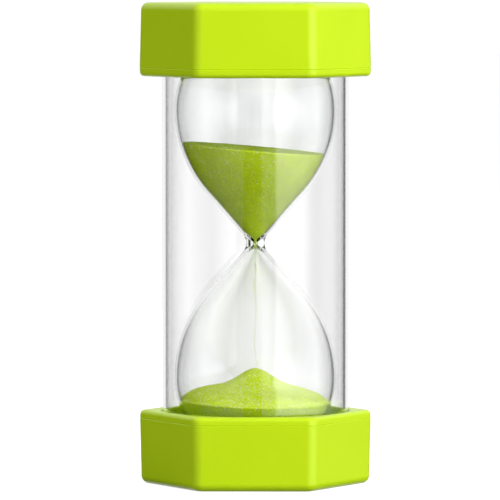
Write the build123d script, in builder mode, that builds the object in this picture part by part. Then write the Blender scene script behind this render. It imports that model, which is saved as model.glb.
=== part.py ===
from build123d import *

import os
from math import cos, radians, sin, sqrt, tan

# Hourglass: a blown glass double bulb inside a clear acrylic tube, held between two
# hexagonal moulded caps. Millimetres, +Z up, origin at the centre of the face it stands on.
# The front flat of both caps faces -Y. The object is symmetric about its mid-plane, apart
# from the sand and the stopper, so the lower half is modelled and the upper one mirrored.

# ---- driving dimensions -------------------------------------------------------------
height = 160.0
cap_height = 24.5

# Hexagonal cap: a cup and a collar that closes its mouth, meeting at a seam
seam_width = 67.6  # across flats at the seam, the widest place
end_width = 66.7  # across flats at the end face
mouth_width = 67.3  # across flats at the collar's face
corner_radius = 4.0  # upright edges of the hexagon
end_edge_radius = 2.6
collar_thickness = 2.8
collar_edge_radius = 1.5
bore_edge_radius = 0.6
seam_bevel = 0.18  # each side of the seam, so that it reads as a fine groove
floor_thickness = 2.2
cavity_width = 62.8  # across flats inside the cup
cavity_corner_radius = 2.5

# Clear outer tube
tube_radius = 31.0
tube_wall = 1.5
tube_socket_depth = 14.5  # how far the tube goes into each cap
tube_gap = 0.2  # between the tube and a collar's bore

# Corner lugs that hang from a collar into the cup's corners
lug_length = 8.0
lug_width = 17.0
lug_reach = 35.4  # from the axis
lug_gap = 0.15  # between a lug and the cup

# Seat on the cup's floor: a ring with a lip that holds the cushion, and ribs for the tube
seat_radius = 22.6
seat_wall = 2.0
seat_ledge_width = 2.6
seat_lip_height = 2.4
rib_thickness = 1.8
cushion_thickness = 4.0
cushion_gap = 0.2  # between the cushion and the lip
cushion_hole_radius = 7.0

# Glass double bulb. Rises are measured from the throat, at mid-height
throat_radius = 3.1
orifice_radius = 0.55
belly_radius = 26.8
belly_rise = 44.5  # the widest place
cone_angle = 42.5  # between the cone's side and the axis
shoulder_arc = 43.0  # arc radius from the cone to the belly
belly_arc = 30.0  # arc radius just past the belly
belly_sweep = 20.0  # degrees that it turns through
end_arc = 10.0  # arc radius that turns in to the flat end
glass_wall = 1.0

# Filling neck at the bulb's upper end, and the stopper in it
filling_neck_radius = 5.5
filling_hole_radius = 4.0
filling_neck_length = 2.5
stopper_depth = 6.0
stopper_head_thickness = 1.5

# Sand
sand_gap = 0.12  # between the sand and the glass
upper_sand_level = 31.5  # above the throat, at the axis, before the crater
upper_sand_tilt = 4.8  # degrees, lower towards +X
crater_radius = 21.0
crater_depth = 10.5
lower_sand_rim = 52.1  # below the throat, where the pile meets the glass
pile_height = 10.5  # peak above rim
stream_top_radius = 0.42
stream_foot_radius = 0.3

# ---- derived dimensions -------------------------------------------------------------
middle = height / 2
seam_z = cap_height - collar_thickness
bore_radius = tube_radius + tube_gap
tube_end_z = cap_height - tube_socket_depth
side_count = 6
belly_angle = radians(cone_angle)
bulb_end_rise = (
    belly_rise
    + belly_arc * sin(radians(belly_sweep))
    + end_arc * (1 - sin(radians(belly_sweep)))
)
cushion_top_z = middle - bulb_end_rise
seat_ledge_z = cushion_top_z - cushion_thickness
pile_radius = (
    belly_radius
    - belly_arc
    + sqrt(belly_arc**2 - (lower_sand_rim - belly_rise) ** 2)
    - glass_wall
    - sand_gap
)
mid_plane = Plane.XY.offset(middle)
# Half sections from the throat: X is the radius and Y the rise, or the drop below it
rise_section = Plane((0, 0, middle), x_dir=(1, 0, 0), z_dir=(0, -1, 0))
drop_section = Plane((0, 0, middle), x_dir=(1, 0, 0), z_dir=(0, 1, 0))
on_base = (Align.CENTER, Align.CENTER, Align.MIN)

os.makedirs("parts", exist_ok=True)


# ---- outlines -----------------------------------------------------------------------
def hexagon(across_flats, mode=Mode.ADD):
    """Adds a hexagon with corners on +X and -X to the sketch in hand."""
    RegularPolygon(across_flats / 2, side_count, major_radius=False, mode=mode)


def hexagonal_block(low_z, low_width, high_z, high_width):
    """Adds a hexagonal block with drafted sides and rounded corners to the part in hand."""
    with BuildSketch(Plane.XY.offset(low_z)) as low_end:
        hexagon(low_width)
    with BuildSketch(Plane.XY.offset(high_z)) as high_end:
        hexagon(high_width)
    loft([low_end.sketch, high_end.sketch], ruled=True)
    corners = edges().filter_by(lambda edge: abs(edge.tangent_at(0.5).Z) > 0.9)
    fillet(corners, corner_radius)


def bulb_side(inset):
    """Adds one bulb's side to the line in hand, from its cone's foot to the axis at its end.

    Inset moves the whole side inwards, so 0 is the outer surface and the wall thickness is
    the inner one. Returns the foot.
    """
    shoulder = shoulder_arc - inset
    start = (
        belly_radius - inset - shoulder * (1 - cos(belly_angle)),
        belly_rise - shoulder * sin(belly_angle),
    )
    upward = (sin(belly_angle), cos(belly_angle))
    to_belly = JernArc(start, upward, shoulder, cone_angle)
    past_belly = JernArc(to_belly @ 1, to_belly % 1, belly_arc - inset, belly_sweep)
    to_end = JernArc(past_belly @ 1, past_belly % 1, end_arc - inset, 90 - belly_sweep)
    Line(to_end @ 1, (0, (to_end @ 1).Y))
    return start


def bulb_cavity(inset):
    """Adds the closed half section of one bulb's inside, with half of the orifice."""
    cone_foot = bulb_side(inset)
    orifice = orifice_radius - (inset - glass_wall)
    orifice_rise = cone_foot[1] - (cone_foot[0] - orifice) / tan(belly_angle)
    end_rise = bulb_end_rise - inset
    Polyline(cone_foot, (orifice, orifice_rise), (orifice, 0), (0, 0), (0, end_rise))


# ---- cap cup ------------------------------------------------------------------------
with BuildPart() as bottom_cap_shell:
    hexagonal_block(0, end_width, seam_z, seam_width)
    fillet(faces().sort_by(Axis.Z)[0].edges(), end_edge_radius)
    chamfer(faces().sort_by(Axis.Z)[-1].edges(), seam_bevel)

    with BuildSketch(Plane.XY.offset(floor_thickness)):
        hexagon(cavity_width)
        fillet(vertices(), cavity_corner_radius)
    extrude(amount=seam_z - floor_thickness, mode=Mode.SUBTRACT)

    # Seat ring with an inner ledge for the cushion
    with BuildSketch(Plane.XY.offset(floor_thickness)):
        Circle(seat_radius)
        Circle(seat_radius - seat_wall - seat_ledge_width, mode=Mode.SUBTRACT)
    extrude(amount=seat_ledge_z - floor_thickness)
    with BuildSketch(Plane.XY.offset(seat_ledge_z)):
        Circle(seat_radius)
        Circle(seat_radius - seat_wall, mode=Mode.SUBTRACT)
    extrude(amount=seat_lip_height)

    # Ribs from the seat to the middle of each flat, on which the tube stands
    rib_start = seat_radius - seat_wall / 2
    rib_end = cavity_width / 2 + 0.5
    with BuildSketch(Plane.XY.offset(floor_thickness)):
        with PolarLocations((rib_start + rib_end) / 2, side_count, start_angle=30):
            Rectangle(rib_end - rib_start, rib_thickness)
    extrude(amount=tube_end_z - floor_thickness)

with BuildPart() as top_cap_shell:
    mirror(bottom_cap_shell.part, about=mid_plane)

# ---- cap collar ---------------------------------------------------------------------
with BuildPart() as bottom_cap_collar:
    hexagonal_block(seam_z, seam_width, cap_height, mouth_width)
    fillet(faces().sort_by(Axis.Z)[-1].edges(), collar_edge_radius)
    chamfer(faces().sort_by(Axis.Z)[0].edges(), seam_bevel)

    with BuildSketch(Plane.XY.offset(seam_z)):
        Circle(bore_radius)
    extrude(amount=collar_thickness, mode=Mode.SUBTRACT)
    bore_rim = edges().filter_by(GeomType.CIRCLE).filter_by(
        lambda edge: abs(edge.radius - bore_radius) < 0.01
    )
    fillet(bore_rim.sort_by(Axis.Z)[-1], bore_edge_radius)

    # Six lugs that reach down between the tube and the cup's corners
    with BuildSketch(Plane.XY.offset(seam_z)):
        with PolarLocations(bore_radius, side_count):
            Rectangle(lug_width, lug_width)
        hexagon(cavity_width - 2 * lug_gap, mode=Mode.INTERSECT)
        Circle(lug_reach, mode=Mode.INTERSECT)
        Circle(bore_radius, mode=Mode.SUBTRACT)
    extrude(amount=-lug_length)

with BuildPart() as top_cap_collar:
    mirror(bottom_cap_collar.part, about=mid_plane)

# ---- cushion between glass and cup --------------------------------------------------
with BuildPart() as bottom_cushion:
    with BuildSketch(Plane.XY.offset(seat_ledge_z)):
        Circle(seat_radius - seat_wall - cushion_gap)
        Circle(cushion_hole_radius, mode=Mode.SUBTRACT)
    extrude(amount=cushion_thickness)
    chamfer(bottom_cushion.edges().filter_by(GeomType.CIRCLE), 0.3)

with BuildPart() as top_cushion:
    mirror(bottom_cushion.part, about=mid_plane)

# ---- outer tube ---------------------------------------------------------------------
with BuildPart() as outer_tube:
    with BuildSketch(Plane.XY.offset(tube_end_z)):
        Circle(tube_radius)
        Circle(tube_radius - tube_wall, mode=Mode.SUBTRACT)
    extrude(amount=height - 2 * tube_end_z)
    chamfer(outer_tube.edges().filter_by(GeomType.CIRCLE), 0.2)

# ---- glass double bulb --------------------------------------------------------------
with BuildPart() as glass_bulb:
    with BuildSketch(rise_section):
        with BuildLine():
            cone_foot = bulb_side(0)
            # The throat's arc is the one that meets the cone's side at a tangent
            flare = cone_foot[1] * tan(belly_angle) - (cone_foot[0] - throat_radius)
            throat_arc = flare * cos(belly_angle) / (1 - cos(belly_angle))
            throat = JernArc((throat_radius, 0), (0, 1), throat_arc, -cone_angle)
            Line(throat @ 1, cone_foot)
            Polyline((0, bulb_end_rise), (0, 0), (throat_radius, 0))
        make_face()
    revolve(axis=Axis.Z)
    with BuildSketch(rise_section):
        with BuildLine():
            bulb_cavity(glass_wall)
        make_face()
    revolve(axis=Axis.Z, mode=Mode.SUBTRACT)
    mirror(about=mid_plane)

    # Filling neck, only at the upper end
    with BuildSketch(mid_plane.offset(bulb_end_rise - glass_wall / 2)):
        Circle(filling_neck_radius)
    extrude(amount=filling_neck_length + glass_wall / 2)
    with BuildSketch(mid_plane.offset(bulb_end_rise - 2 * glass_wall)):
        Circle(filling_hole_radius)
    extrude(amount=filling_neck_length + 2 * glass_wall, mode=Mode.SUBTRACT)

# ---- stopper ------------------------------------------------------------------------
filling_mouth_rise = bulb_end_rise + filling_neck_length
with BuildPart() as filling_stopper:
    with BuildSketch(mid_plane.offset(filling_mouth_rise)):
        Circle(filling_hole_radius)
    extrude(amount=-stopper_depth)
    chamfer(filling_stopper.edges().group_by(Axis.Z)[0], 0.6)
    with BuildSketch(mid_plane.offset(filling_mouth_rise)):
        Circle(filling_neck_radius)
    extrude(amount=stopper_head_thickness)
    fillet(filling_stopper.edges().group_by(Axis.Z)[-1], 0.4)

# ---- sand ---------------------------------------------------------------------------
sand_inset = glass_wall + sand_gap

with BuildPart() as upper_sand:
    with BuildSketch(rise_section):
        with BuildLine():
            bulb_cavity(sand_inset)
        make_face()
    revolve(axis=Axis.Z)
    surface = Plane((0, 0, middle + upper_sand_level)).rotated((0, upper_sand_tilt, 0))
    split(bisect_by=surface, keep=Keep.BOTTOM)
    with Locations((0, 0, middle + upper_sand_level - crater_depth)):
        Cone(0, 2 * crater_radius, 2 * crater_depth, align=on_base, mode=Mode.SUBTRACT)

with BuildPart() as lower_sand:
    with BuildSketch(drop_section):
        with BuildLine():
            bulb_cavity(sand_inset)
        make_face()
    revolve(axis=Axis.Z)
    # What is above the pile is cut away: a round peak, then flanks that flatten outwards
    peak_drop = lower_sand_rim - pile_height
    with BuildSketch(drop_section):
        with BuildLine():
            Spline(
                (0, peak_drop),
                (0.20 * pile_radius, lower_sand_rim - 0.72 * pile_height),
                (0.45 * pile_radius, lower_sand_rim - 0.44 * pile_height),
                (0.75 * pile_radius, lower_sand_rim - 0.30 * pile_height),
                (pile_radius, lower_sand_rim),
                tangents=((1, 0), (1, 0.9)),
            )
            Polyline(
                (pile_radius, lower_sand_rim),
                (belly_radius, lower_sand_rim),
                (belly_radius, 0),
                (0, 0),
                (0, peak_drop),
            )
        make_face()
    revolve(axis=Axis.Z, mode=Mode.SUBTRACT)

with BuildPart() as sand_stream:
    with Locations((0, 0, middle - peak_drop)):
        Cone(stream_foot_radius, stream_top_radius, peak_drop, align=on_base)

# ---- hand out -----------------------------------------------------------------------
pieces = {
    "bottom_cap_shell": bottom_cap_shell,
    "bottom_cap_collar": bottom_cap_collar,
    "bottom_cushion": bottom_cushion,
    "top_cap_shell": top_cap_shell,
    "top_cap_collar": top_cap_collar,
    "top_cushion": top_cushion,
    "outer_tube": outer_tube,
    "glass_bulb": glass_bulb,
    "filling_stopper": filling_stopper,
    "upper_sand": upper_sand,
    "lower_sand": lower_sand,
    "sand_stream": sand_stream,
}
for label, piece in pieces.items():
    piece.part.label = label
    export_step(piece.part, f"parts/{label}.step")
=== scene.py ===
import itertools
import math
import random

import bpy
import numpy as np
from mathutils import Matrix, Vector, noise


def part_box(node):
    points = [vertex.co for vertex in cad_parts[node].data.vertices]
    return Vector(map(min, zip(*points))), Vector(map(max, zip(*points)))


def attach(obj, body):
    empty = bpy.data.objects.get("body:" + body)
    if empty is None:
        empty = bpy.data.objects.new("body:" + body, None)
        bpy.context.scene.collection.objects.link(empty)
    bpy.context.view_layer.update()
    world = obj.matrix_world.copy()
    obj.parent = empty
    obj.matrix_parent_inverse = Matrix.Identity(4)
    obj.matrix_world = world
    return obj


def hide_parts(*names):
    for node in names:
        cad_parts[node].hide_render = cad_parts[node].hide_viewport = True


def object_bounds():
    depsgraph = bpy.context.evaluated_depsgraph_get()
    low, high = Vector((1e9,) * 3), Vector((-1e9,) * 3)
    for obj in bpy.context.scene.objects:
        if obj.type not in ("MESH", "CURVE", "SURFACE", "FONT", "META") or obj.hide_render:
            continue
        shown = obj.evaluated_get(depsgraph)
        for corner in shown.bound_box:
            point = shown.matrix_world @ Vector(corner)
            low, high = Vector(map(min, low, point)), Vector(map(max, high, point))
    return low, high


# The looks of an hourglass: a glass double bulb with green sand, in a clear tube between two
# hexagonal lime green caps. Metres, +Z up, the caps' front flat faces -Y.

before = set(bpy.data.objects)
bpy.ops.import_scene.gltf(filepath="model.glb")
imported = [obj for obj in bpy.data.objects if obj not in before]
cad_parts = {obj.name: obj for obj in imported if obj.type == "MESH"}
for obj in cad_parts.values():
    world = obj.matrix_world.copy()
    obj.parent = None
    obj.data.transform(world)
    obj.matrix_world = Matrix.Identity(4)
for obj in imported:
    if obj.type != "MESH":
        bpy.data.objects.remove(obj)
cad_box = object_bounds()

MM = 0.001
BODY = "root"

# ---- sizes, from the frame ----------------------------------------------------------
object_low, object_high = cad_box
throat_z = (object_low.z + object_high.z) / 2
tube_low, tube_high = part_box("outer_tube")
glass_low, glass_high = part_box("glass_bulb")
neck_top_z = glass_high.z
belly_radius = glass_high.x
bulb_end_rise = throat_z - glass_low.z
peak_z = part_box("lower_sand")[1].z

# ---- sizes that the boxes don't give ------------------------------------------------
tube_wall = 1.5 * MM
tube_edge = 0.2 * MM
glass_wall = 1.0 * MM
throat_radius = 3.1 * MM
orifice_radius = 0.55 * MM
filling_neck_radius = 5.5 * MM
filling_hole_radius = 4.0 * MM
belly_rise = 44.5 * MM
shoulder_arc = 43.0 * MM
belly_arc = 30.0 * MM
end_arc = 10.0 * MM
cone_lean = math.radians(42.5)
shoulder_lean = math.radians(-20)
flat_lean = math.radians(-90)

sand_inset = 1.12 * MM
sand_level = 31.5 * MM
sand_slope = math.tan(math.radians(4.8))
crater_radius = 21.0 * MM
crater_depth = 10.5 * MM
pile_rim_drop = 52.1 * MM
pile_height = 10.5 * MM
pile_lean_back = 1.3 * MM
pile_lean_left = 0.8 * MM

# The peak is this share of the pile's height, and its width is a share of the pile's radius.
# The rest of the height is a flat heap. The powers set how suddenly each one falls away.
peak_share = 0.64
peak_width = 0.35
peak_power = 1.75
heap_power = 6

# ---- how finely the meshes are divided ----------------------------------------------
GLASS_SEGMENTS = 240
TUBE_SEGMENTS = 288
CUSHION_SEGMENTS = 96
STOPPER_SEGMENTS = 64
SAND_SEGMENTS = 300
SAND_SIDE_STEPS = 70
SAND_TOP_STEPS = 90
SHOULDER_STEPS = 40
BELLY_STEPS = 16
END_STEPS = 28
THROAT_STEPS = 16
CONE_STEPS = 12
EDGE_STEPS = 6

# Points closer to the axis than this are on it. Angles are in degrees: an edge that turns
# more than this is drawn sharp.
ON_AXIS = 1e-7
SHARP_ANGLE = 30
CUSHION_SHARP_ANGLE = 60
GRAIN_SHARP_ANGLE = 10
NO_SHARP_EDGES = 180


# ---- mesh tools ---------------------------------------------------------------------
def make_piece(name, vertices, faces, material, slot, replaced, sharp_angle=SHARP_ANGLE):
    """Makes one smooth-shaded mesh piece that rides on the body and stands for CAD nodes."""
    mesh = bpy.data.meshes.new(name)
    mesh.from_pydata([tuple(v) for v in vertices], [], faces)
    mesh.update()
    mesh.shade_smooth()
    mesh.set_sharp_from_angle(angle=math.radians(sharp_angle))
    mesh.materials.append(material)
    piece = bpy.data.objects.new(name, mesh)
    bpy.context.scene.collection.objects.link(piece)
    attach(piece, BODY)
    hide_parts(*replaced)
    return piece


def full_turn(segments):
    """Evenly spaced angles round a circle, in radians."""
    return [2 * math.pi * i / segments for i in range(segments)]


def lathe(outline, segments):
    """Vertices and faces of a closed outline of (radius, z) points turned about Z.

    A point on the axis becomes one vertex, so no face collapses there.
    """
    vertices, rings, faces = [], [], []
    turns = full_turn(segments)
    for radius, z in outline:
        start = len(vertices)
        if radius < ON_AXIS:
            vertices.append((0, 0, z))
            rings.append([start] * segments)
        else:
            vertices += [(radius * math.cos(a), radius * math.sin(a), z) for a in turns]
            rings.append(list(range(start, start + segments)))
    for low, high in zip(rings, rings[1:] + rings[:1]):
        for i in range(segments):
            j = (i + 1) % segments
            corners = [low[i], low[j], high[j], high[i]]
            face = [c for k, c in enumerate(corners) if c != corners[k - 1]]
            if len(face) > 2:
                faces.append(face)
    return vertices, faces


def arc(centre, radius, start, end, steps):
    """Points on a circle from one angle to another, in radians."""
    x, y = centre
    angles = np.linspace(start, end, steps)
    return [(x + radius * math.cos(a), y + radius * math.sin(a)) for a in angles]


def line(start, end, steps):
    """Evenly spaced points from one point to another."""
    (x, y), (end_x, end_y) = start, end
    return [(x + (end_x - x) * t, y + (end_y - y) * t) for t in np.linspace(0, 1, steps)]


# ---- glass outline ------------------------------------------------------------------
def bulb_side(inset):
    """Points (radius, rise above the throat) from a bulb's cone to the edge of its flat end."""
    belly = belly_radius - inset
    radius = shoulder_arc - inset
    point = (
        belly - radius * (1 - math.cos(cone_lean)),
        belly_rise - radius * math.sin(cone_lean),
    )
    side = []
    for arc_radius, start, end, steps in (
        (shoulder_arc - inset, cone_lean, 0, SHOULDER_STEPS),
        (belly_arc - inset, 0, shoulder_lean, BELLY_STEPS),
        (end_arc - inset, shoulder_lean, flat_lean, END_STEPS),
    ):
        centre = (
            point[0] - arc_radius * math.cos(start),
            point[1] + arc_radius * math.sin(start),
        )
        stretch = arc(centre, arc_radius, -start, -end, steps)
        side += stretch[1:] if side else stretch
        point = side[-1]
    return side


def inner_side(inset):
    """The same, from the middle of the orifice and up the inside of the cone."""
    side = bulb_side(inset)
    orifice = orifice_radius - (inset - glass_wall)
    foot_radius, foot_rise = side[0]
    start = foot_rise - (foot_radius - orifice) / math.tan(cone_lean)
    cone = line((orifice, start), side[0], CONE_STEPS)
    return [(orifice, 0.0)] + cone + side[1:]


def outer_side():
    """The same for the outer surface, whose throat is an arc that meets the cone."""
    side = bulb_side(0)
    foot_radius, foot_rise = side[0]
    flare = foot_rise * math.tan(cone_lean) - (foot_radius - throat_radius)
    radius = flare * math.cos(cone_lean) / (1 - math.cos(cone_lean))
    centre = (throat_radius + radius, 0)
    throat = arc(centre, radius, math.pi, math.pi - cone_lean, THROAT_STEPS)
    cone = line(throat[-1], side[0], CONE_STEPS)
    return throat + cone[1:] + side[1:]


def glass_outline():
    """The closed half section of the whole double bulb, with its filling neck, in (radius, z)."""
    outer = outer_side()
    inner = inner_side(glass_wall)
    up_out = [(r, throat_z + h) for r, h in outer]
    down_out = [(r, throat_z - h) for r, h in outer[1:]]
    up_in = [(r, throat_z + h) for r, h in inner]
    down_in = [(r, throat_z - h) for r, h in inner[1:]]
    bulb_top_z = throat_z + bulb_end_rise
    neck = [
        (filling_hole_radius, bulb_top_z - glass_wall),
        (filling_hole_radius, neck_top_z),
        (filling_neck_radius, neck_top_z),
        (filling_neck_radius, bulb_top_z),
    ]
    bottom = [(0, throat_z - bulb_end_rise), (0, throat_z - bulb_end_rise + glass_wall)]
    outside = up_out[::-1] + down_out
    inside = down_in[::-1] + up_in
    return (neck + outside + bottom + inside)[::-1]


# ---- materials ----------------------------------------------------------------------
class Nodes:
    """A short way to build the node tree of one material, or of the world."""

    def __init__(self, owner, output="OutputMaterial"):
        self.owner = owner
        owner.use_nodes = True
        self.tree = owner.node_tree
        self.tree.nodes.clear()
        self.output = self.tree.nodes.new("ShaderNode" + output)

    def add(self, kind, inputs=None, **settings):
        """Adds a node. An input is a value, or another node's output to link."""
        node = self.tree.nodes.new("ShaderNode" + kind)
        for key, value in settings.items():
            setattr(node, key, value)
        for key, value in (inputs or {}).items():
            if isinstance(value, bpy.types.NodeSocket):
                self.tree.links.new(value, node.inputs[key])
            else:
                node.inputs[key].default_value = value
        return node

    def ramp(self, factor, stops):
        """A colour ramp through (position, colour) stops."""
        node = self.add("ValToRGB", {"Fac": factor})
        elements = node.color_ramp.elements
        while len(elements) < len(stops):
            elements.new(0.5)
        for element, (position, colour) in zip(elements, stops):
            element.position = position
            element.color = (*colour, 1)
        return node.outputs["Color"]

    def range(self, value, low, high):
        """Maps 0 to 1 onto low to high."""
        node = self.add("MapRange", {"Value": value, "To Min": low, "To Max": high})
        return node.outputs["Result"]

    def math(self, operation, first, second=0.0):
        """One step of arithmetic on two values."""
        return self.add("Math", {0: first, 1: second}, operation=operation).outputs[0]

    def mix(self, factor, first, second):
        """The first shader where the factor is 0 and the second where it is 1."""
        return self.add("MixShader", {0: factor, 1: first, 2: second}).outputs[0]

    def bump(self, height, strength, depth):
        """The normal of a surface with small bumps, up to this depth in metres."""
        inputs = {"Height": height, "Strength": strength, "Distance": depth}
        return self.add("Bump", inputs).outputs["Normal"]

    def specular_ray(self, path):
        """1 for a ray that was last refracted or mirrored, and 0 for any other."""
        refracted, mirrored = path.outputs["Is Transmission Ray"], path.outputs["Is Glossy Ray"]
        return self.math("MAXIMUM", refracted, mirrored)

    def surface(self, socket):
        """Makes this shader the result, and returns the material or the world."""
        self.tree.links.new(socket, self.output.inputs["Surface"])
        return self.owner


def new_material(name):
    """The empty node tree of a new material."""
    return Nodes(bpy.data.materials.new(name))


def cap_plastic():
    """Lime green moulded plastic: satin, with a very fine skin texture."""
    n = new_material("cap_plastic")
    place = n.add("TexCoord").outputs["Object"]
    cloud = n.add("TexNoise", {"Vector": place, "Scale": 45.0, "Detail": 3.0})
    skin = n.add("TexNoise", {"Vector": place, "Scale": 2600.0, "Detail": 2.0})
    colour = n.ramp(
        cloud.outputs["Fac"],
        [(0.3, (0.59, 0.84, 0.001)), (0.7, (0.615, 0.865, 0.002))],
    )
    normal = n.bump(skin.outputs["Fac"], 0.12, 0.06 * MM)
    shader = n.add(
        "BsdfPrincipled",
        {
            "Base Color": colour,
            "Roughness": n.range(cloud.outputs["Fac"], 0.26, 0.36),
            "IOR": 1.5,
            "Normal": normal,
        },
    )
    return n.surface(shader.outputs["BSDF"])


def clear_material(name, colour, ior, ripple_scale):
    """Clear glass or acrylic that lets lamps light what is behind it."""
    n = new_material(name)
    place = n.add("TexCoord").outputs["Object"]
    ripple = n.add("TexNoise", {"Vector": place, "Scale": ripple_scale, "Detail": 1.0})
    tint = n.ramp(
        ripple.outputs["Fac"], [(0.3, tuple(c - 0.01 for c in colour)), (0.7, colour)]
    )
    normal = n.bump(ripple.outputs["Fac"], 1.0, 0.01 * MM)
    glass = n.add(
        "BsdfPrincipled",
        {
            "Base Color": tint,
            "Roughness": 0.0,
            "IOR": ior,
            "Transmission Weight": 1.0,
            "Normal": normal,
        },
    )
    through = n.add("BsdfTransparent", {"Color": (0.97, 0.97, 0.97, 1)})
    path = n.add("LightPath")
    soft = n.math("MAXIMUM", path.outputs["Is Shadow Ray"], path.outputs["Is Diffuse Ray"])
    return n.surface(n.mix(soft, glass.outputs[0], through.outputs[0]))


def sand_material():
    """Dyed sand: every grain its own green, and a few pale grains painted on as glints, more of
    them on upward-facing sand, where light from above falls.
    """
    n = new_material("green_sand")
    place = n.add("TexCoord").outputs["Object"]
    grains = n.add("TexVoronoi", {"Vector": place, "Scale": 3200.0})
    clumps = n.add("TexNoise", {"Vector": place, "Scale": 260.0, "Detail": 3.0})
    upward = n.add("SeparateXYZ", {0: n.add("NewGeometry").outputs["Normal"]}).outputs["Z"]
    pick = n.add("SeparateXYZ", {0: grains.outputs["Color"]}).outputs["X"]
    # Painted highlight: the palest grains stand in for glints, and upward-facing sand gets more
    # of them, as if lit from above.
    grain_colour_and_painted_glints = n.ramp(
        n.math("ADD", pick, n.math("MULTIPLY", upward, 0.1)),
        [
            (0.0, (0.64, 0.86, 0.0)),
            (0.60, (0.715, 1.0, 0.0)),
            (0.89, (0.79, 1.0, 0.02)),
            (0.94, (0.92, 1.0, 0.5)),
        ],
    )
    clump_shade = n.ramp(
        clumps.outputs["Fac"], [(0.3, (0.88, 0.88, 0.85)), (0.7, (1.0, 1.0, 1.0))]
    )
    colour = n.add(
        "Mix",
        {"Factor": 1.0, "A": grain_colour_and_painted_glints, "B": clump_shade},
        data_type="RGBA",
        blend_type="MULTIPLY",
    )
    normal = n.bump(grains.outputs["Distance"], 0.6, 0.2 * MM)
    shader = n.add(
        "BsdfPrincipled",
        {
            "Base Color": colour.outputs["Result"],
            "Roughness": n.range(grains.outputs["Distance"], 0.55, 0.85),
            "Normal": normal,
        },
    )
    return n.surface(shader.outputs["BSDF"])


def foam_material():
    """Closed-cell foam: pale, matte, with small pores drawn as dips, darkened by painted shade.
    """
    n = new_material("cushion_foam")
    place = n.add("TexCoord").outputs["Object"]
    pores = n.add("TexVoronoi", {"Vector": place, "Scale": 1500.0})
    # Painted shade: the colour darkens towards each pore's centre, where the bump dips.
    colour = n.ramp(
        pores.outputs["Distance"], [(0.0, (0.45, 0.45, 0.42)), (0.4, (0.72, 0.72, 0.69))]
    )
    normal = n.bump(pores.outputs["Distance"], 0.5, 0.2 * MM)
    shader = n.add(
        "BsdfPrincipled", {"Base Color": colour, "Roughness": 0.9, "Normal": normal}
    )
    return n.surface(shader.outputs["BSDF"])


def silicone_material():
    """Milky silicone rubber with a faint mottle."""
    n = new_material("stopper_silicone")
    place = n.add("TexCoord").outputs["Object"]
    mottle = n.add("TexNoise", {"Vector": place, "Scale": 600.0, "Detail": 2.0})
    colour = n.ramp(
        mottle.outputs["Fac"], [(0.3, (0.60, 0.60, 0.56)), (0.7, (0.70, 0.70, 0.67))]
    )
    normal = n.bump(mottle.outputs["Fac"], 0.2, 0.1 * MM)
    shader = n.add(
        "BsdfPrincipled",
        {
            "Base Color": colour,
            "Roughness": n.range(mottle.outputs["Fac"], 0.45, 0.6),
            "Normal": normal,
        },
    )
    return n.surface(shader.outputs["BSDF"])


# ---- glass and tube -----------------------------------------------------------------
def make_glass():
    """The blown double bulb, one closed skin with its filling hole open at the top."""
    vertices, faces = lathe(glass_outline(), GLASS_SEGMENTS)
    material = clear_material("bulb_glass", (0.99, 0.995, 0.993), 1.47, 30.0)
    make_piece("glass_bulb_blown", vertices, faces, material, "bulb_glass", ["glass_bulb"])


def make_tube():
    """The clear tube, with a small flat on each edge of its ends."""
    outer, inner = tube_high.x, tube_high.x - tube_wall
    outline = [
        (outer - tube_edge, tube_low.z),
        (outer, tube_low.z + tube_edge),
        (outer, tube_high.z - tube_edge),
        (outer - tube_edge, tube_high.z),
        (inner + tube_edge, tube_high.z),
        (inner, tube_high.z - tube_edge),
        (inner, tube_low.z + tube_edge),
        (inner + tube_edge, tube_low.z),
    ]
    vertices, faces = lathe(outline, TUBE_SEGMENTS)
    material = clear_material("clear_acrylic", (0.995, 0.995, 0.995), 1.49, 25.0)
    make_piece("outer_tube_clear", vertices, faces, material, "clear_acrylic", ["outer_tube"])


# ---- sand ---------------------------------------------------------------------------
inner_points = inner_side(sand_inset)
inner_rises = [h for _, h in inner_points]
inner_radii = [r for r, _ in inner_points]


def wall_radius(rise):
    """The sand's radius where it touches the glass, this far from the throat."""
    return float(np.interp(rise, inner_rises, inner_radii))


def meet_wall(surface, angle, guess):
    """How far from the throat a surface meets the glass, in one direction."""
    rounds = 20
    rise = guess
    for _ in range(rounds):
        radius = wall_radius(rise)
        rise = 0.5 * rise + 0.5 * surface(radius * math.cos(angle), radius * math.sin(angle))
    return rise


def roughness(x, y, seed):
    """Grain-sized unevenness of a loose surface, in metres."""
    fine_size, fine_depth = 0.45 * MM, 0.09 * MM
    broad_size, broad_depth = 4.0 * MM, 0.22 * MM
    fine = noise.noise(Vector((x, y, seed)) / fine_size)
    broad = noise.noise(Vector((x, y, seed + 1)) / broad_size)
    return fine_depth * fine + broad_depth * broad


def upper_surface(x, y):
    """Rise of the upper sand's surface above the throat: a tilted level with a crater."""
    radius = math.hypot(x, y)
    level = sand_level - sand_slope * x
    depth = crater_depth * max(0.0, 1 - radius / crater_radius)
    return level - depth


def lower_surface(x, y):
    """Drop of the pile's surface below the throat: a round peak on a flatter heap.

    It is higher at the back and the left.
    """
    rim = wall_radius(pile_rim_drop)
    share = math.hypot(x, y) / rim
    heap = (1 - peak_share) * (1 - share**heap_power)
    peak = peak_share * math.exp(-((share / peak_width) ** peak_power))
    lean = (pile_lean_back * y - pile_lean_left * x) / rim
    return pile_rim_drop - pile_height * (heap + peak) - lean * share


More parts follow.
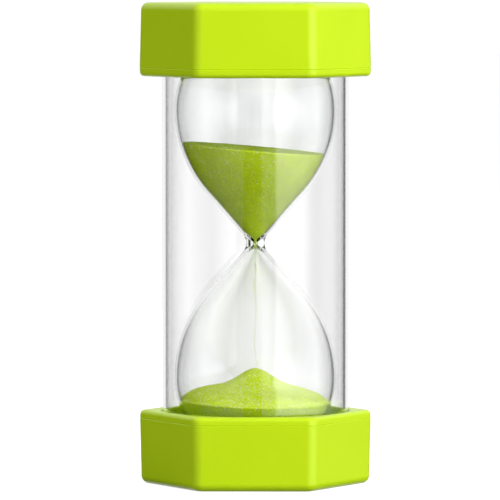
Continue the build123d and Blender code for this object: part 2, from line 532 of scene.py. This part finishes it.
def sand_body(surface, guess, foot, direction, seed):
    """A closed body of sand: up the glass from its foot, then in over its surface.

    Direction is 1 for the upper bulb, whose foot is the orifice, and -1 for the lower.
    """
    settled_share = 1 / 12
    rings = []
    angles = full_turn(SAND_SEGMENTS)
    contact = [meet_wall(surface, angle, guess) for angle in angles]
    for step in range(SAND_SIDE_STEPS):
        share = step / (SAND_SIDE_STEPS - 1)
        ring = []
        for angle, top in zip(angles, contact):
            rise = foot + (top - foot) * share
            radius = wall_radius(rise)
            ring.append((radius * math.cos(angle), radius * math.sin(angle), rise))
        rings.append(ring)
    for step in range(1, SAND_TOP_STEPS):
        share = 1 - step / SAND_TOP_STEPS
        ring = []
        for angle, top in zip(angles, contact):
            radius = wall_radius(top) * share
            x, y = radius * math.cos(angle), radius * math.sin(angle)
            settle = min(1.0, (1 - share) / settled_share)
            rise = surface(x, y) + settle * roughness(x, y, seed)
            ring.append((x, y, rise))
        rings.append(ring)
    vertices = [(x, y, throat_z + direction * rise) for ring in rings for x, y, rise in ring]
    faces = []
    for row in range(len(rings) - 1):
        for i in range(SAND_SEGMENTS):
            j = (i + 1) % SAND_SEGMENTS
            low, high = row * SAND_SEGMENTS, (row + 1) * SAND_SEGMENTS
            faces.append((low + i, low + j, high + j, high + i))
    foot_centre, top_centre = len(vertices), len(vertices) + 1
    vertices.append((0, 0, throat_z + direction * foot))
    vertices.append((0, 0, throat_z + direction * surface(0, 0)))
    last = (len(rings) - 1) * SAND_SEGMENTS
    for i in range(SAND_SEGMENTS):
        j = (i + 1) % SAND_SEGMENTS
        faces.append((foot_centre, j, i))
        faces.append((top_centre, last + i, last + j))
    if direction < 0:
        faces = [face[::-1] for face in faces]
    return vertices, faces


def make_sand(material):
    """The sand still in the upper bulb, and the pile in the lower one."""
    foot = bulb_end_rise - sand_inset
    upper_seed, lower_seed = 3, 8
    for name, node, vertices_and_faces in (
        (
            "upper_sand_bed",
            "upper_sand",
            sand_body(upper_surface, sand_level, 0.0, 1, upper_seed),
        ),
        (
            "lower_sand_pile",
            "lower_sand",
            sand_body(lower_surface, pile_rim_drop, foot, -1, lower_seed),
        ),
    ):
        make_piece(
            name, *vertices_and_faces, material, "green_sand", [node], NO_SHARP_EDGES
        )


def icosahedron():
    """Corners and outward triangles of a solid with 20 faces, the shape of one grain."""
    golden = (1 + math.sqrt(5)) / 2
    corners = [
        Vector(p).normalized()
        for a in (-1, 1)
        for b in (-golden, golden)
        for p in ((0, a, b), (a, b, 0), (b, 0, a))
    ]
    slack = 1.01
    edge = min((a - b).length for a in corners for b in corners if a != b) * slack
    faces = []
    for i, j, k in itertools.combinations(range(len(corners)), 3):
        a, b, c = corners[i], corners[j], corners[k]
        if max((a - b).length, (b - c).length, (c - a).length) < edge:
            outward = (b - a).cross(c - a).dot(a + b + c) > 0
            faces.append((i, j, k) if outward else (i, k, j))
    return corners, faces


def make_stream(material):
    """Falling grains: a dense thread at the throat that thins out on its way down.

    A crowding power above 1 draws the clumps, or the grains, up towards the throat.
    """
    rng = random.Random(11)
    grain_count = 620
    smallest, largest = 0.05 * MM, 0.11 * MM
    grain_crowding = 1.8
    clump_count = 40
    clump_crowding = 1.2
    clump_length = 0.6 * MM
    share_of_orifice, narrowing = 0.9, 0.3
    sway_width = 0.4 * MM
    sway_length = 2.9 * MM

    corners, grain_faces = icosahedron()
    vertices, faces = [], []
    length = throat_z - peak_z
    clumps = [
        length * ((i + rng.random()) / clump_count) ** clump_crowding
        for i in range(clump_count)
    ]
    for _ in range(grain_count):
        clump = clumps[int(clump_count * rng.random() ** grain_crowding)]
        fall = min(max(clump + rng.gauss(0, clump_length), 0.0), length)
        share = fall / length
        spread = orifice_radius * (share_of_orifice - narrowing * share)
        angle = rng.uniform(0, 2 * math.pi)
        off = spread * math.sqrt(rng.random())
        sway = sway_width * math.sqrt(share) * math.sin(fall / sway_length)
        x, y = off * math.cos(angle) + sway, off * math.sin(angle)
        centre = Vector((x, y, throat_z - fall))
        size = rng.uniform(smallest, largest)
        turn_angle = rng.uniform(0, math.pi)
        turn = Matrix.Rotation(turn_angle, 3, Vector((rng.random(), rng.random(), 1)))
        start = len(vertices)
        vertices += [centre + turn @ (corner * size) for corner in corners]
        faces += [tuple(start + c for c in face) for face in grain_faces]
    make_piece(
        "sand_stream_grains", vertices, faces, material, "green_sand", ["sand_stream"],
        GRAIN_SHARP_ANGLE,
    )


# ---- cushions and stopper -----------------------------------------------------------
def rounded_ring(low, high, hole, edge):
    """The half section of a ring with rounded edges, between two heights."""
    outer = high.x
    corners = [
        ((outer - edge, low.z + edge), -90),
        ((outer - edge, high.z - edge), 0),
        ((hole + edge, high.z - edge), 90),
        ((hole + edge, low.z + edge), 180),
    ]
    outline = []
    for centre, start in corners:
        quarter = math.radians(start), math.radians(start + 90)
        outline += arc(centre, edge, *quarter, EDGE_STEPS)
    return outline


def make_cushions(material):
    """A soft ring at each end of the glass, in the space that its CAD solid holds."""
    hole = 7.0 * MM
    edge = 0.9 * MM
    for node in ("bottom_cushion", "top_cushion"):
        low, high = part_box(node)
        vertices, faces = lathe(rounded_ring(low, high, hole, edge), CUSHION_SEGMENTS)
        piece = make_piece(
            node + "_foam", vertices, faces, material, "cushion_foam", [node],
            CUSHION_SHARP_ANGLE,
        )


def make_stopper(material):
    """The plug in the filling hole: a stem with a slanted tip, and a round-edged head."""
    low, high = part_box("filling_stopper")
    head = 1.5 * MM
    tip_edge = 0.6 * MM
    head_edge = 0.4 * MM
    head_centre = high.x - head_edge, high.z - head_edge
    outline = [
        (0, low.z),
        (filling_hole_radius - tip_edge, low.z),
        (filling_hole_radius, low.z + tip_edge),
        (filling_hole_radius, high.z - head),
        (high.x, high.z - head),
        *arc(head_centre, head_edge, 0, math.pi / 2, EDGE_STEPS),
        (0, high.z),
    ]
    vertices, faces = lathe(outline, STOPPER_SEGMENTS)
    make_piece(
        "filling_stopper_plug", vertices, faces, material, "stopper_silicone",
        ["filling_stopper"],
    )


# ---- camera and stage ---------------------------------------------------------------
def aim(obj, place, target):
    """Puts a camera or light at a place and turns it to face a target."""
    obj.location = place
    obj.rotation_euler = (Vector(target) - Vector(place)).to_track_quat("-Z", "Y").to_euler()


def make_camera():
    """A long lens from slightly above the top cap, a little to the right of the front."""
    place = 0.0145, -1.913, 0.178
    target = -0.00177, 0, 0.0777
    data = bpy.data.cameras.new("camera")
    data.sensor_width = 36
    data.lens = 414.8
    data.clip_start, data.clip_end = 0.1, 200
    camera = bpy.data.objects.new("camera", data)
    bpy.context.scene.collection.objects.link(camera)
    aim(camera, place, target)
    bpy.context.scene.camera = camera


def make_floor():
    """A white floor. Rays that come out of the glass pass it and see the backdrop instead.

    The camera sees it bright, and it throws less light up at the object.
    """
    thrown_up, seen, seen_glow = 0.38, 0.75, 0.8
    half = 8.0
    n = new_material("floor")
    path = n.add("LightPath")
    for_camera = path.outputs["Is Camera Ray"]
    specular = n.specular_ray(path)
    white = n.ramp(for_camera, [(0, (thrown_up,) * 3), (1, (seen,) * 3)])
    paint = n.add("BsdfDiffuse", {"Color": white})
    glow = n.add("Emission", {"Strength": n.math("MULTIPLY", for_camera, seen_glow)})
    lit = n.add("AddShader", {0: paint.outputs[0], 1: glow.outputs[0]})
    clear = n.add("BsdfTransparent")
    material = n.surface(n.mix(specular, lit.outputs[0], clear.outputs[0]))

    mesh = bpy.data.meshes.new("floor")
    corners = [(-half, -half, 0), (half, -half, 0), (half, half, 0), (-half, half, 0)]
    mesh.from_pydata(corners, [], [(0, 1, 2, 3)])
    mesh.materials.append(material)
    floor = bpy.data.objects.new("floor", mesh)
    bpy.context.scene.collection.objects.link(floor)


# Panels of light that stand round the object, by azimuth in degrees. 0 is behind the object
# and positive is to the right. Each is (start, end, brightness, blur of the start, and of the
# end). A negative brightness is a flag that darkens what is there.
BACKDROP_LEVEL = 1.12
BACKDROP_PANELS = {
    "left_glow": (-60, -22, 0.15, 20, 8),
    "dim_left_of_middle": (-3, -1, -0.31, 2, 2),
    "middle_strip": (-1, 1, 0.1, 2, 2),
    "dim_right_of_middle": (1, 4, -0.3, 2, 3),
    "right_flag": (20, 36, -1.12, 8, 10),
}
ROOM_BEHIND = {"behind": (-30.5, 27, 0.92, 5, 4)}
ROOM_SOFTBOXES = {
    "left_softbox": (-165.5, -120, 0.38, 3, 40),
    "right_softbox": (92, 154, 2.0, 50, 5),
    "right_softbox_rim": (60, 171, 0.6, 40, 4),
}

# Heights are the sine of an elevation, each with the blur of its edge. The backdrop is white
# again below its floor height.
BACKDROP_BAND = (-0.6, 0.2, 0.6, 0.22)
BACKDROP_FLOOR, BACKDROP_FLOOR_BLUR = -0.81, 0.06
BEHIND_BAND = (-0.78, 0.25, 0.78, 0.25)
SOFTBOX_BAND = (-0.22, 0.25, 0.22, 0.25)
CEILING_HEIGHT, CEILING_BLUR, CEILING_LEVEL = 0.22, 0.25, 0.9
WHITE_SEEN_BY_CAMERA = 1.05
AMBIENT = 0.26


def make_world():
    """A white backdrop all round, in a dark room.

    Light that only passed through glass sees the backdrop, which is dark high above and in
    a narrow band far below. Light that was also reflected sees the room: white straight
    behind the object, a bright softbox to the front right, a faint one to the front left
    with a dark gap between them, and a pale ceiling.
    """
    world = bpy.data.worlds.new("studio")
    bpy.context.scene.world = world
    n = Nodes(world, "OutputWorld")
    path = n.add("LightPath")
    axes = n.add("SeparateXYZ", {0: n.add("TexCoord").outputs["Generated"]})
    azimuth = n.math("DEGREES", n.math("ARCTAN2", axes.outputs["X"], axes.outputs["Y"]))
    height = axes.outputs["Z"]

    def step(value, middle, blur, level):
        """0 below the middle and the level above it, with a blurred edge."""
        edge = {"From Min": middle - blur / 2, "From Max": middle + blur / 2, "To Max": level}
        return n.add("MapRange", {"Value": value, **edge}).outputs["Result"]

    def span(value, low, low_blur, high, high_blur, level):
        """The level between two values, and 0 outside, with blurred edges."""
        rise = step(value, low, low_blur, level)
        fall = step(value, high, high_blur, level)
        return n.math("SUBTRACT", rise, fall)

    def lit_panels(level, panels, band):
        """Panels round the object added to an even level, within a band of heights."""
        for start, end, brightness, start_blur, end_blur in panels.values():
            panel = span(azimuth, start, start_blur, end, end_blur, brightness)
            level = n.math("ADD", level, panel)
        return n.math("MULTIPLY", n.math("MAXIMUM", level, 0.0), band)

    below = n.math("SUBTRACT", 1.0, step(height, BACKDROP_FLOOR, BACKDROP_FLOOR_BLUR, 1.0))
    heights = n.math("ADD", below, span(height, *BACKDROP_BAND, 1.0))
    backdrop = lit_panels(BACKDROP_LEVEL, BACKDROP_PANELS, heights)

    behind = lit_panels(0.0, ROOM_BEHIND, span(height, *BEHIND_BAND, 1.0))
    softboxes = lit_panels(0.0, ROOM_SOFTBOXES, span(height, *SOFTBOX_BAND, 1.0))
    ceiling = step(height, CEILING_HEIGHT, CEILING_BLUR, CEILING_LEVEL)
    room = n.math("MAXIMUM", behind, n.math("ADD", softboxes, ceiling))

    def white_light(strength):
        """White surroundings of this brightness."""
        return n.add("Background", {"Color": (1, 1, 1, 1), "Strength": strength}).outputs[0]

    was_reflected = n.math("GREATER_THAN", path.outputs["Glossy Depth"], 0.5)
    in_glass = n.mix(was_reflected, white_light(backdrop), white_light(room))
    light = n.mix(n.specular_ray(path), white_light(AMBIENT), in_glass)
    seen = white_light(WHITE_SEEN_BY_CAMERA)
    n.surface(n.mix(path.outputs["Is Camera Ray"], light, seen))


# (azimuth in degrees, distance, height, width, its own height, radiance). Azimuth 0 is in
# front of the object here, and positive is to the right.
SOFTBOXES = {
    "softbox_right": (50, 0.9, 0.15, 0.62, 0.9, 3.05),
    "softbox_left": (-30, 0.9, 0.15, 0.7, 0.9, 0.44),
    "softbox_back": (190, 0.9, 0.15, 0.7, 0.9, 1.3),
    "high_key": (50, 1.3, 1.15, 0.9, 0.9, 6.4),
    "high_fill": (-50, 1.3, 1.15, 0.9, 0.9, 2.2),
}


def make_softbox(name, azimuth, distance, height, width, tall, radiance):
    """An area light that faces the object.

    It only lights surfaces, because the room already holds its reflection.
    """
    data = bpy.data.lights.new(name, "AREA")
    data.shape = "RECTANGLE"
    data.size, data.size_y = width, tall
    data.energy = radiance * math.pi * width * tall
    box = bpy.data.objects.new(name, data)
    bpy.context.scene.collection.objects.link(box)
    a = math.radians(azimuth)
    aim(box, (distance * math.sin(a), -distance * math.cos(a), height), (0, 0, throat_z))
    box.visible_camera = box.visible_transmission = box.visible_glossy = False


make_camera()
make_world()
make_floor()
for name, softbox in SOFTBOXES.items():
    make_softbox(name, *softbox)

plastic = cap_plastic()
for node in ("bottom_cap_shell", "bottom_cap_collar", "top_cap_shell", "top_cap_collar"):
    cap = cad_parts[node]
    cap.data.materials.clear()
    cap.data.materials.append(plastic)

sand = sand_material()
make_sand(sand)
make_stream(sand)
make_glass()
make_tube()
make_cushions(foam_material())
make_stopper(silicone_material())

scene = bpy.context.scene
scene.view_settings.view_transform = "Standard"
scene.cycles.max_bounces = 32
scene.cycles.transmission_bounces = 24
scene.cycles.glossy_bounces = 16
scene.cycles.transparent_max_bounces = 24
